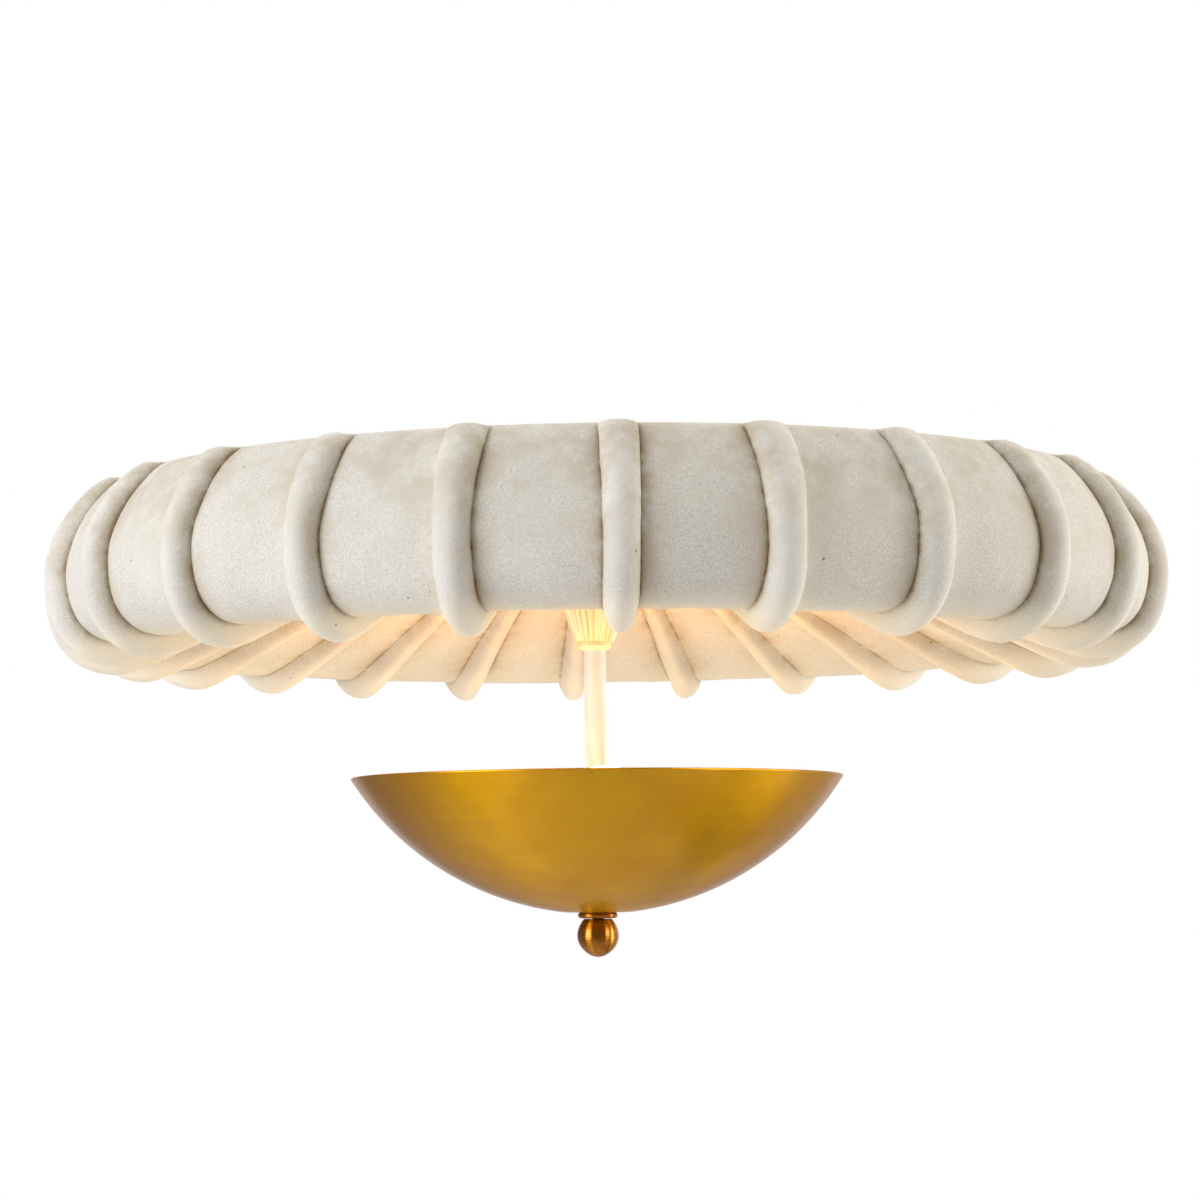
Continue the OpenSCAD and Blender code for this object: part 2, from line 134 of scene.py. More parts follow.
class Finish:
    """One material, built from Principled BSDF constants and signals."""

    def __init__(self, name, **constants):
        self.material = bpy.data.materials.new(name)
        self.material.use_nodes = True
        self.tree = self.material.node_tree
        self.shader = self.tree.nodes["Principled BSDF"]
        for socket, value in constants.items():
            self.shader.inputs[socket.replace("_", " ")].default_value = value

    def node(self, kind, settings, inputs, output=None):
        """Add a node: first its settings, then the values or links of its sockets."""
        made = self.tree.nodes.new(kind)
        for key, value in settings.items():
            setattr(made, key, value)
        for key, value in inputs.items():
            self.feed(self.pick(made.inputs, key), value)
        return Signal(self, self.pick(made.outputs, output))

    @staticmethod
    def pick(sockets, key):
        """The socket of that number, or the first one in use of that name, or the first one in use."""
        if isinstance(key, int):
            return sockets[key]
        return next(s for s in sockets if s.enabled and key in (None, s.name))

    def feed(self, socket, value):
        """Link a signal to a socket, or set its constant."""
        if isinstance(value, Signal):
            self.tree.links.new(value.socket, socket)
        elif isinstance(value, tuple) and socket.type == "RGBA":
            socket.default_value = (*value, 1)
        else:
            socket.default_value = value

    def surface(self, **signals):
        """Link signals to the sockets of the finish's own shader."""
        for socket, value in signals.items():
            self.feed(self.shader.inputs[socket.replace("_", " ")], value)
        return self.material

    def place(self):
        """Object coordinates, in metres."""
        return self.node("ShaderNodeTexCoord", {}, {}, "Object")

    def axes(self, place):
        """The three coordinates of a place, as numbers."""
        split = self.node("ShaderNodeSeparateXYZ", {}, {"Vector": place}).socket.node
        return [Signal(self, socket) for socket in split.outputs]

    def stretched(self, place, scale):
        """Coordinates stretched along the axes, for a pattern that runs one way."""
        return self.node("ShaderNodeMapping", {}, {"Vector": place, "Scale": scale})

    def clouds(self, place, scale, detail, roughness):
        """Soft noise about 0.5, with so many blotches to the metre."""
        inputs = {"Vector": place, "Scale": scale, "Detail": detail, "Roughness": roughness}
        return self.node("ShaderNodeTexNoise", {}, inputs, "Fac")

    def between(self, value, low, high):
        """0 where the value is below low, 1 above high, and an eased step between them."""
        settings = {"interpolation_type": "SMOOTHSTEP"}
        return self.node("ShaderNodeMapRange", settings, {"Value": value, "From Min": low, "From Max": high})

    def blend(self, factor, first, second):
        """A colour that goes from the first to the second with the factor."""
        settings = {"data_type": "RGBA", "blend_type": "MIX"}
        return self.node("ShaderNodeMix", settings, {"Factor": factor, "A": first, "B": second})

    def relief(self, height, distance, under=None):
        """A bump from a height signal, where distance is the depth in metres of a height of 1."""
        inputs = {"Height": height, "Distance": distance, "Strength": 1.0}
        if under:
            inputs["Normal"] = under
        return self.node("ShaderNodeBump", {}, inputs)


# %% [markdown]
# ## The studio
# The real light was shot against white paper. Here a pale floor and a white world stand for it. Light
# Path tells the rays that come straight from the camera, or by way of gloss or glass, from those that
# light the object, so the paper can show as white while it lights the stone no more than a pale room
# would. A large soft lamp stands at the left, as in the photograph, and a weaker one at the right. Grey
# sheets behind the camera and at the left keep the front of the stone darker than its sides, and two dark
# cards on the floor give the bowl something dark to mirror. Two bright windows exist for gloss alone, for
# the tall lights on the finial, and a warm lamp that gloss doesn't see lifts the shade's underside.

# %% The world
ROOM_COLOUR = (1.0, 0.985, 0.96)
ROOM_STRENGTH = 0.84
PAPER_RAYS = ("Is Camera Ray", "Is Glossy Ray", "Is Transmission Ray")

world = bpy.data.worlds.new("white_paper")
world.use_nodes = True
bpy.context.scene.world = world
world_nodes = world.node_tree.nodes
world_links = world.node_tree.links
paper = world_nodes["Background"]
paper.inputs["Color"].default_value = (1, 1, 1, 1)
paper.inputs["Strength"].default_value = 1.0
room = world_nodes.new("ShaderNodeBackground")
room.inputs["Color"].default_value = (*ROOM_COLOUR, 1)
room.inputs["Strength"].default_value = ROOM_STRENGTH
rays = world_nodes.new("ShaderNodeLightPath")
shown = rays.outputs[PAPER_RAYS[0]]
for ray in PAPER_RAYS[1:]:
    either = world_nodes.new("ShaderNodeMath")
    either.operation = "MAXIMUM"
    world_links.new(shown, either.inputs[0])
    world_links.new(rays.outputs[ray], either.inputs[1])
    shown = either.outputs[0]
choice = world_nodes.new("ShaderNodeMixShader")
world_links.new(shown, choice.inputs[0])
world_links.new(room.outputs[0], choice.inputs[1])
world_links.new(paper.outputs[0], choice.inputs[2])
world_links.new(choice.outputs[0], world_nodes["World Output"].inputs["Surface"])

# %% Sheets, cards and windows
FLAT = 0.0
UPRIGHT = 90.0
WINDOW_COLOUR = (1.0, 0.95, 0.88)
WINDOW_STRENGTH = 14.0
# Columns: turn about the stem in degrees, place before the turn, tip in degrees, size, colour
SHEETS = {
    "pale_floor": (0.0, (0.0, 0.0, -1.35), FLAT, (9.0, 9.0), (0.62, 0.61, 0.60)),
    "grey_wall": (0.0, (1.2, -4.2, 0.0), UPRIGHT, (9.4, 5.0), (0.23, 0.225, 0.215)),
    "grey_side": (52.0, (0.0, 4.0, 0.0), UPRIGHT, (3.4, 3.6), (0.30, 0.29, 0.28)),
    "grey_left": (90.0, (0.0, 4.0, 0.0), UPRIGHT, (1.9, 3.6), (0.29, 0.31, 0.35)),
    "dark_card": (0.0, (1.0, 0.5, -1.345), FLAT, (1.0, 1.4), (0.08, 0.075, 0.07)),
    "left_card": (0.0, (-1.2, -0.2, -1.345), FLAT, (0.9, 0.8), (0.08, 0.075, 0.07)),
}
WINDOWS = {
    "window_left": (-56.0, (0.0, -2.0, 0.72), UPRIGHT, (0.55, 1.5), WINDOW_COLOUR),
    "window_right": (55.0, (0.0, -2.0, 0.80), UPRIGHT, (0.75, 1.4), WINDOW_COLOUR),
}


def stage_sheet(name, turn, place, tip, size, colour):
    """A flat sheet of the studio, white to the camera and coloured to every other ray."""
    turned = Matrix.Rotation(math.radians(turn), 4, "Z")
    tipped = Matrix.Rotation(math.radians(tip), 4, "X")
    mesh = bmesh.new()
    bmesh.ops.create_grid(mesh, x_segments=1, y_segments=1, size=0.5)
    bmesh.ops.scale(mesh, vec=(*size, 1), verts=mesh.verts)
    bmesh.ops.transform(mesh, matrix=turned @ Matrix.Translation(place) @ tipped, verts=mesh.verts)
    data = bpy.data.meshes.new(name)
    mesh.to_mesh(data)
    mesh.free()
    sheet = bpy.data.objects.new(name, data)
    bpy.context.scene.collection.objects.link(sheet)
    finish = Finish(name, Base_Color=(*colour, 1), Roughness=0.9)
    glow = finish.node("ShaderNodeEmission", {}, {"Color": (1.0, 1.0, 1.0), "Strength": 1.0})
    camera_ray = finish.node("ShaderNodeLightPath", {}, {}, "Is Camera Ray")
    shader = Signal(finish, finish.shader.outputs[0])
    mixed = finish.node("ShaderNodeMixShader", {}, {0: camera_ray, 1: shader, 2: glow})
    finish.tree.links.new(mixed.socket, finish.tree.nodes["Material Output"].inputs["Surface"])
    data.materials.append(finish.material)
    return sheet


for sheet_name, columns in SHEETS.items():
    stage_sheet(sheet_name, *columns)
for window_name, columns in WINDOWS.items():
    pane = stage_sheet(window_name, *columns)
    pane_shader = pane.data.materials[0].node_tree.nodes["Principled BSDF"]
    pane_shader.inputs["Emission Color"].default_value = (*WINDOW_COLOUR, 1)
    pane_shader.inputs["Emission Strength"].default_value = WINDOW_STRENGTH
    pane.visible_camera = False
    pane.visible_diffuse = False
    pane.visible_shadow = False

# %% The lamps
LAMP_AIM = (0.0, 0.0, -0.1)
WHITE = (1.0, 1.0, 1.0)
# Columns: place, aim, size, watts, colour
SOFT_LAMPS = {
    "key_left": ((-2.1, -1.45, 0.1), LAMP_AIM, (1.6, 2.5), 46.0, (0.945, 0.985, 1.09)),
    "fill_right": ((2.5, -0.05, 0.1), LAMP_AIM, (0.9, 2.5), 37.0, (1.0, 0.99, 0.97)),
    "top_back": ((0.0, 1.6, 1.7), LAMP_AIM, (2.2, 1.2), 22.0, WHITE),
    "floor_pool": ((-0.80, -0.78, -0.6), (-0.80, -0.78, -1.35), (0.5, 0.5), 0.8, WHITE),
    "warm_below": ((0.0, 0.9, -1.2), (0.0, 0.25, -0.08), (1.2, 0.8), 4.5, (1.0, 0.86, 0.62)),
}

for lamp_name, (place, target, size, watts, colour) in SOFT_LAMPS.items():
    lamp_data = bpy.data.lights.new(lamp_name, "AREA")
    lamp_data.shape = "RECTANGLE"
    lamp_data.size, lamp_data.size_y = size
    lamp_data.energy = watts
    lamp_data.color = colour
    lamp_object = bpy.data.objects.new(lamp_name, lamp_data)
    bpy.context.scene.collection.objects.link(lamp_object)
    lamp_object.visible_glossy = lamp_name != "warm_below"
    facing = (Vector(target) - Vector(place)).to_track_quat("-Z", "Y")
    lamp_object.matrix_world = Matrix.Translation(place) @ facing.to_matrix().to_4x4()
print("studio:", len(SHEETS), "sheets,", len(WINDOWS), "windows,", len(SOFT_LAMPS), "soft lamps")

# %% [markdown]
# ## Making a piece
# Most pieces of a lamp are round, so an outline of radius and height is spun about the stem's axis. An
# outline that closes on itself gives a closed wall at once, and where it touches the axis the doubled
# points are merged. The piece then gets its finish and the body that it rides on, and the CAD node that it
# stands for is hidden.


# %% Making a piece
FULL_TURN = {"axis": (0, 0, 1), "cent": (0, 0, 0), "angle": 2 * math.pi, "use_merge": True}
SHARP_EDGE = math.radians(35)
MERGE_REACH = 1e-6


def spun_mesh(outline, steps):
    """A bmesh from a closed outline of (radius, height) in millimetres, spun a full turn about z."""
    mesh = bmesh.new()
    points = [mesh.verts.new((radius * MM, 0, height * MM)) for radius, height in outline]
    edges = [mesh.edges.new(pair) for pair in zip(points, points[1:] + points[:1])]
    bmesh.ops.spin(mesh, geom=points + edges, steps=steps, **FULL_TURN)
    bmesh.ops.remove_doubles(mesh, verts=mesh.verts, dist=MERGE_REACH)
    bmesh.ops.recalc_face_normals(mesh, faces=mesh.faces)
    return mesh


def finished(name, mesh, material, body, replaced):
    """Turn a bmesh into a piece that rides on its body in place of a CAD node."""
    for face in mesh.faces:
        face.smooth = True
    for edge in mesh.edges:
        if len(edge.link_faces) == 2 and edge.calc_face_angle(0) > SHARP_EDGE:
            edge.smooth = False
    data = bpy.data.meshes.new(name)
    mesh.to_mesh(data)
    mesh.free()
    data.materials.append(material)
    piece = bpy.data.objects.new(name, data)
    bpy.context.scene.collection.objects.link(piece)
    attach(piece, body)
    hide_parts(replaced)
    print(name, len(data.polygons), "faces")


def curve(knot, handle, other_handle, other_knot, count):
    """Points of a cubic curve in the outline's plane, both ends included."""
    controls = [Vector((*point, 0)) for point in (knot, handle, other_handle, other_knot)]
    return [(point.x, point.y) for point in geometry.interpolate_bezier(*controls, count)]


def arc(centre, radius, start, end, count):
    """Points of a circular arc, with its angles in degrees from the radius axis."""
    angles = [math.radians(start + (end - start) * i / (count - 1)) for i in range(count)]
    return [(centre[0] + radius * math.cos(a), centre[1] + radius * math.sin(a)) for a in angles]


def eased(share):
    """A share of 0 to 1 with a soft start and end."""
    return 0.5 - 0.5 * math.cos(math.pi * share)


# %% [markdown]
# ## Cast stone
# The shade is cast from crushed stone in resin and rubbed down by hand. Close up it is a fine sand of
# pale and grey grains, with soft clouds, a few pin holes painted dark as painted shade, and a brown stain
# where dust settled on the shoulder. Along the creases a brown dust stain is painted together with the
# creases' painted shade, and each sharp crease gets a thin dark line of painted shade. Under the lip the
# light of the bulbs comes back and forth between the ribs, and that warm light is painted into the
# stone's colour there; the crowns of the ribs get a painted highlight. The grains are too small for a
# mesh, so they are noise in colour and relief. The stain and shade follow the creases, which only the
# mesh knows, so they read numbers that the model leaves on every vertex.

# %% Cast stone
STONE_PALE = (0.840, 0.800, 0.722)
STONE_GREY = (0.590, 0.547, 0.472)
STONE_CROWN_HIGHLIGHT = (0.840, 0.812, 0.750)
STONE_STAIN_AND_SHADE = (0.500, 0.395, 0.250)
STONE_PAINTED_GLOW = (1.000, 0.870, 0.640)
STONE_DIRT = (0.500, 0.430, 0.310)
STONE_SEAM_SHADE = (0.170, 0.110, 0.055)
STONE_HOLE_SHADE = (0.220, 0.165, 0.100)
LIP_HEIGHTS = (-0.096, -0.080)
DUST_HEIGHTS = (-0.085, -0.010)
HOLES_PER_METRE = 95.0
SAND_DEPTH = 0.00030
HOLE_DEPTH = 0.0009


def cast_stone():
    stone = Finish("cast_stone", Specular_IOR_Level=0.25)
    place = stone.place()
    height = stone.axes(place)[2]
    clouds = stone.clouds(place, 13.0, 4.0, 0.55)
    blotches = stone.clouds(place, 46.0, 6.0, 0.68)
    chips = stone.between(stone.clouds(place, 320.0, 2.0, 0.6), 0.40, 0.60)
    sand = stone.clouds(place, 1050.0, 1.0, 0.7)
    grain = stone.clouds(place, 1900.0, 1.0, 0.7)
    crease, seam, crown = (
        stone.node("ShaderNodeAttribute", {"attribute_name": name}, {}, "Fac")
        for name in ("crease", "seam", "crown")
    )

    shade = stone.between(clouds * 0.6 + blotches * 0.4, 0.36, 0.64)
    speckle = stone.between(sand * 0.55 + grain * 0.45, 0.39, 0.61)
    colour = stone.blend(shade * 0.35 + speckle * 0.65, STONE_GREY, STONE_PALE)
    # Painted highlight: the crowns of the ribs are painted lighter, as if catching more light.
    colour = stone.blend(crown * (0.26 + shade * 0.25), colour, STONE_CROWN_HIGHLIGHT)

    outer = stone.between(height, *LIP_HEIGHTS)
    worn = stone.between(blotches, 0.36, 0.60)
    dust = stone.between(height, *DUST_HEIGHTS)
    dust = dust * stone.between(clouds * 0.40 + blotches * 0.60, 0.42, 0.62)
    # Painted light: the bulbs' warm light under the lip, stronger in the creases, is painted into the
    # colour.
    colour = stone.blend((0.45 + crease * 0.45) * (1.0 - outer), colour, STONE_PAINTED_GLOW)
    # Partly a brown dust stain and partly the creases' painted shade, left off under the lip where the bulbs
    # light the creases.
    colour = stone.blend(crease * (0.20 + worn * 0.80) * outer, colour, STONE_STAIN_AND_SHADE)
    colour = stone.blend(dust * (0.40 + speckle * 0.4), colour, STONE_DIRT)
    # Painted shade: a thin dark line in each sharp crease, mixed with dirt that comes and goes with wear and
    # chips; left off under the lip.
    colour = stone.blend(seam * (0.15 + worn * 0.45 + chips * 0.25) * outer, colour, STONE_SEAM_SHADE)

    spread = {"Vector": place, "Scale": HOLES_PER_METRE, "Randomness": 1.0}
    cells = stone.node("ShaderNodeTexVoronoi", {}, spread, "Distance")
    holes = (1.0 - stone.between(cells, 0.030, 0.075)) * stone.between(blotches, 0.50, 0.60)
    # Painted shade: the pin holes are painted dark for the shade in them, which their bump doesn't cast.
    colour = stone.blend(holes * 0.7, colour, STONE_HOLE_SHADE)

    relief = stone.relief(sand * 0.6 + grain * 0.4, SAND_DEPTH)
    relief = stone.relief(1.0 - holes, HOLE_DEPTH, under=relief)
    return stone.surface(Base_Color=colour, Roughness=0.78 + sand * 0.2, Normal=relief)


STONE = cast_stone()

# %% [markdown]
# ## The ribbed shade
# The shade is one casting: a shell that bulges out of a flat rim at the ceiling, rolls under its lip and
# runs up to the hub, with twenty-four rounded ribs laid over it from rim to hub. Sculpting it or
# displacing it with a texture would lose the sharp creases beside each rib. Instead its closed outline is
# spun into a smooth shell whose columns are then gathered at the creases and lifted into rolls, so the
# edges that should be sharp are real edges. Each rib has its own place, width and height, since a
# hand-finished shade is never quite even, and on the front ribs the side turned away from the middle is
# rubbed into a soft fillet, while the other is crisp. Under the shade both sides run out softly toward
# the hub.

# %% The shell's outline
SHOULDER = ((260.5, -1.0), (273.2, -1.0), (296.0, -31.9), (296.0, -52.8))
LIP = ((296.0, -52.8), (296.0, -77.2), (284.9, -89.6), (265.5, -89.6))
SOFFIT = ((265.5, -89.6), (245.5, -89.6), (140.0, -30.2), (48.0, -30.2))
SHOULDER_ROWS = 22
LIP_ROWS = 23
SOFFIT_ROWS = 33
SHELL_WALL = 9.0
MOUTH_RADIUS = 254.6
HOLE_RADIUS = 6.1
WEB_TOP = -21.2
RIB_TOP = 1.5
RIB_SIDE = 8.8
RIB_LIP = 11.2
SOFFIT_TAPER = 1.6
HUB_FADE = 18.0
LEAST_SLOPE = 0.01


def rib_rise(row, radius):
    """How far a rib stands above the shell at one row of the outline, in millimetres."""
    if row < SHOULDER_ROWS:
        return RIB_TOP + (RIB_SIDE - RIB_TOP) * (1 - (1 - row / (SHOULDER_ROWS - 1)) ** 2)
    if row < SHOULDER_ROWS + LIP_ROWS:
        return RIB_SIDE + (RIB_LIP - RIB_SIDE) * (row - SHOULDER_ROWS + 1) / LIP_ROWS
    fade = min(1, (radius - SOFFIT[3][0]) / HUB_FADE)
    return RIB_LIP * (radius / LIP[3][0]) ** SOFFIT_TAPER * fade**0.5


outside = curve(*SHOULDER, SHOULDER_ROWS)
outside += curve(*LIP, LIP_ROWS + 1)[1:]
outside += curve(*SOFFIT, SOFFIT_ROWS + 1)[1:]
shell_rows = []
for index, (radius, height) in enumerate(outside):
    before = Vector(outside[max(index - 1, 0)])
    after = Vector(outside[min(index + 1, len(outside) - 1)])
    along = (after - before).normalized()
    outward = Vector((-along.y, along.x))
    rise = rib_rise(index, radius)
    if outward.y > 0:
        rise = min(rise, (SHOULDER[0][1] - height) / max(outward.y, LEAST_SLOPE))
    shell_rows.append((radius, height, outward.x, outward.y, rise))

inner = [(r - SHELL_WALL * nr, z - SHELL_WALL * nz) for r, z, nr, nz, _ in shell_rows[::-3]]
inside = [(HOLE_RADIUS, SOFFIT[3][1]), (HOLE_RADIUS, WEB_TOP), *inner]
inside += [(MOUTH_RADIUS, SHOULDER[0][1] - SHELL_WALL), (MOUTH_RADIUS, SHOULDER[0][1])]
shell_rows += [(radius, height, 0, 0, -1) for radius, height in inside]
print("outline of the shell:", len(shell_rows), "points")

# %% Where each rib stands
RIB_COUNT = 24
RIB_PITCH = 360 / RIB_COUNT
FIRST_RIB = -87.8
HALF_ARCS = ((0.0, 2.15), (0.065, 1.68), (0.110, 1.74), (0.140, 1.95), (0.400, 2.3))
ROLL_COLUMNS = 14
PANEL_COLUMNS = 18
PERIOD = ROLL_COLUMNS + PANEL_COLUMNS
RIB_TURNS = (
    *(-0.26, -0.24, -0.03, 0.48, 0.55, 0.69, 0.91, 1.05, 0.86, 0.87, 1.23, 1.39),
    *(1.35, 1.15, 1.02, 0.45, 0.6, -0.5, -1.2, 0.4, -0.77, -0.88, -0.34, -0.48),
)
WIDTH_SEED = 40.5
WIDTH_SPREAD = 0.12
LEAN_SEED = 80.5
LEAN_SPREAD = 0.4
LEAN_MIDDLE = 0.08
LEAN_LENGTH = 0.10
RIPPLE = 0.16
RIPPLES_PER_METRE = 38
FINE_RIPPLE = 0.05
FINE_RIPPLES_PER_METRE = 190
RUBBED = 0.35
RUBBED_RIBS = 6
FILLET = 0.42
GATHERED = 0.72


def uneven(seed, spread):
    """A steady number about 0 for this seed, so that every run gives the same ribs."""
    return spread * noise.noise(Vector((seed * 3.71, 8.13, 2.77)))


def half_arc(run):
    """Half the arc that a rib takes up, in degrees, at a distance along the outline."""
    for (near, first), (far, second) in zip(HALF_ARCS, HALF_ARCS[1:]):
        if run <= far:
            return first + (second - first) * (run - near) / (far - near)
    return second


def crease_angle_at(rib, side, run):
    """Angle in degrees of a rib's crease, on its -1 or +1 side, at a distance along the outline."""
    rib = rib % RIB_COUNT
    width = half_arc(run) * (1 + uneven(rib + WIDTH_SEED, WIDTH_SPREAD))
    lean = uneven(rib + LEAN_SEED, LEAN_SPREAD) * (run - LEAN_MIDDLE) / LEAN_LENGTH
    coarse = Vector((rib * 5.3 + side, run * RIPPLES_PER_METRE, side * 4.1))
    fine = Vector((rib * 9.7 - side, run * FINE_RIPPLES_PER_METRE, side * 2.3))
    ripple = RIPPLE * noise.noise(coarse) + FINE_RIPPLE * noise.noise(fine)
    return FIRST_RIB + rib * RIB_PITCH + RIB_TURNS[rib] + lean + side * width + ripple


def sharpness(rib, side):
    """How sharp a rib's crease is on its -1 or +1 side: at the front, the far side is rubbed smooth."""
    rib = rib % RIB_COUNT
    from_front = rib if rib <= RIB_COUNT // 2 else rib - RIB_COUNT
    rubbed = 0 < abs(from_front) <= RUBBED_RIBS and side * from_front > 0
    return RUBBED if rubbed else 1.0


def roll_height(across, sharp):
    """Height share of a rib at -1 to +1 across it: a half circle, on a fillet where it is rubbed."""
    foot = FILLET * (1 - sharp)
    return foot + (1 - foot) * math.sqrt(max(0, 1 - across * across))


def column_place(column, run):
    """Angle in degrees, height share of the roll, distance to a crease in degrees, and its sharpness."""
    rib, place = divmod(column, PERIOD)
    left = crease_angle_at(rib, -1, run)
    right = crease_angle_at(rib, 1, run)
    if place <= ROLL_COLUMNS:
        across = math.sin(math.pi * (place / ROLL_COLUMNS - 0.5))
        angle = (left + right) / 2 + across * (right - left) / 2
        sharp = sharpness(rib, 1 if across > 0 else -1)
        return angle, roll_height(across, sharp), min(angle - left, right - angle), sharp
    share = (place - ROLL_COLUMNS) / PANEL_COLUMNS
    share = (1 - GATHERED) * share + GATHERED * eased(share)
    following = crease_angle_at(rib + 1, -1, run)
    if following < right:
        following += 360
    angle = right + share * (following - right)
    sharp = sharpness(rib, 1) if share < 0.5 else sharpness(rib + 1, -1)
    return angle, 0.0, min(angle - right, following - angle), sharp


# %% The shell, spun and lifted into ribs
CREASE_DEPTH = 0.8 * MM
FILLET_REACH = 5.0 * MM
CREASE_REACH = 1.5 * MM
STAIN_AND_SHADE_REACH = 6.0 * MM
SEAM_REACH = 0.9 * MM
OFF_CENTRE = 3.0 * MM
SOFFIT_SOFT = 0.95
SOFT_REACH = 26 * MM
LIP_RUN = 0.107
OPEN_RISE = 4.0 * MM
GROWTH_SEED = 120.5
GROWTH_SPREAD = 0.14
LEAST_STAIN_AND_SHADE = 0.3
SWELL = 0.8 * MM
SWELLS_PER_METRE = 17
FINE_SWELL = 0.3 * MM
FINE_SWELLS_PER_METRE = 61
GUIDES = ("outward", "upward", "rise", "run")
MARKS = ("crease", "seam", "crown")

shell = bmesh.new()
layers = {name: shell.verts.layers.float.new(name) for name in GUIDES + MARKS}
row_points = []
run = 0.0
for index, (radius, height, outward_r, outward_z, rise) in enumerate(shell_rows):
    if index:
        run += math.dist((radius, height), shell_rows[index - 1][:2]) * MM
    point = shell.verts.new((radius * MM, 0, height * MM))
    for name, value in zip(GUIDES, (outward_r, outward_z, rise * MM, run)):
        point[layers[name]] = value
    row_points.append(point)
row_edges = [shell.edges.new(pair) for pair in zip(row_points, row_points[1:] + row_points[:1])]
COLUMNS = RIB_COUNT * PERIOD
bmesh.ops.spin(shell, geom=row_points + row_edges, steps=COLUMNS, **FULL_TURN)

for point in shell.verts:
    radius = math.hypot(point.co.x, point.co.y)
    column = round(math.atan2(point.co.y, point.co.x) / (2 * math.pi) * COLUMNS) % COLUMNS
    run = point[layers["run"]]
    rise = point[layers["rise"]]
    angle, roll, reach, sharp = column_place(column, run)
    turn = math.radians(angle)
    lift = 0.0
    if rise >= 0:
        rib = column // PERIOD
        beside = math.radians(reach) * radius
        away = math.hypot(beside, rise * roll) if column % PERIOD <= ROLL_COLUMNS else beside
        grow = 1 + uneven(rib + GROWTH_SEED, GROWTH_SPREAD)
        spot = Vector((radius * math.cos(turn), radius * math.sin(turn), point.co.z))
        open_share = min(rise / OPEN_RISE, 1)
        inward = min(1, max(0, (run - LIP_RUN) / SOFT_REACH))
        groove = CREASE_DEPTH * sharp * open_share * (1 - inward) * math.exp(-((away / CREASE_REACH) ** 2))
        swell = SWELL * noise.noise(spot * SWELLS_PER_METRE)
        swell += FINE_SWELL * noise.noise(spot * FINE_SWELLS_PER_METRE)
        if column % PERIOD <= ROLL_COLUMNS:
            groove *= 1 - roll
        else:
            roll = FILLET * (1 - sharp) * math.exp(-away / FILLET_REACH)
        roll += SOFFIT_SOFT * inward * (eased(roll**2) - roll)
        lift = rise * roll * grow - groove + swell * open_share
        edge_share = (sharp - RUBBED) / (1 - RUBBED)
        # Weight of a crease's dust stain and painted shade: less on a side rubbed smooth.
        stain_and_shade = LEAST_STAIN_AND_SHADE + (1 - LEAST_STAIN_AND_SHADE) * sharp
        point[layers["crease"]] = math.exp(-away / STAIN_AND_SHADE_REACH) * open_share * stain_and_shade
        # The seam mark places the painted shade of a sharp crease's thin dark line.
        point[layers["seam"]] = math.exp(-((away / SEAM_REACH) ** 2)) * open_share * edge_share
        # The crown mark places the painted highlight on the ribs.
        point[layers["crown"]] = roll * open_share
    radius += lift * point[layers["outward"]]
    aside = OFF_CENTRE * min(1, max(0, (radius / MM - SOFFIT[3][0]) / (LIP[3][0] - SOFFIT[3][0])))
    height = point.co.z + lift * point[layers["upward"]]
    point.co = (radius * math.cos(turn) + aside, radius * math.sin(turn), height)

bmesh.ops.recalc_face_normals(shell, faces=shell.faces)
for name in GUIDES:
    shell.verts.layers.float.remove(shell.verts.layers.float[name])
finished("stone_shade", shell, STONE, "fixture", "shade")

# %% [markdown]
# ## Brushed brass
# The bowl is spun from sheet brass, brushed round and round while it turned, and darkened with age. The
# brush leaves hair-fine rings, which spread a highlight into a streak from rim to foot. Brass is nearly
# all mirror, so its colour sits in the metal and its look comes from roughness, anisotropy and what it
# reflects.

# %% Brushed brass
BRASS_DEEP = (0.565, 0.263, 0.004)
BRASS_GOLD = (0.705, 0.372, 0.007)
BOWL_CENTRE = -74.35


def brushed_brass():
    brass = Finish(
        "brushed_brass",
        Metallic=1.0,
        Anisotropic=0.78,
        Anisotropic_Rotation=0.25,
        Specular_Tint=(0.60, 0.53, 0.60, 1),
        Coat_Weight=0.34,
        Coat_Roughness=0.22,
    )
    place = brass.place()
    x, y, z = brass.axes(place)
    out = (x * x + y * y) ** 0.5
    ring = brass.node("ShaderNodeMath", {"operation": "ARCTAN2"}, {0: out, 1: BOWL_CENTRE * MM - z})
    lines = brass.node("ShaderNodeCombineXYZ", {}, {"X": ring * 420.0, "Y": x * 5.0, "Z": y * 5.0})
    fine = brass.node("ShaderNodeCombineXYZ", {}, {"X": ring * 1100.0, "Y": x * 9.0, "Z": y * 9.0})
    strokes = brass.clouds(lines, 1.0, 3.0, 0.6)
    hair = brass.clouds(fine, 1.0, 2.0, 0.6)
    clouds = brass.clouds(place, 22.0, 3.0, 0.5)
    tone = brass.between(clouds * 0.55 + strokes * 0.25 + hair * 0.2, 0.32, 0.68)
    colour = brass.blend(tone, BRASS_DEEP, BRASS_GOLD)
    relief = brass.relief(strokes * 0.5 + hair * 0.5, 0.00003)
    roughness = 0.35 + strokes * 0.08 + clouds * 0.05
    return brass.surface(Base_Color=colour, Roughness=roughness, Normal=relief)


BOWL_BRASS = brushed_brass()

# %% [markdown]
# ## The bowl
# The bowl is a shallow cap of a sphere in sheet barely over a millimetre thick, pressed flat at its pole
# where the finial's ring clamps it. Its outline runs out along the outside, turns over the rim in a small
# round and comes back along the inside, and one spin closes it.

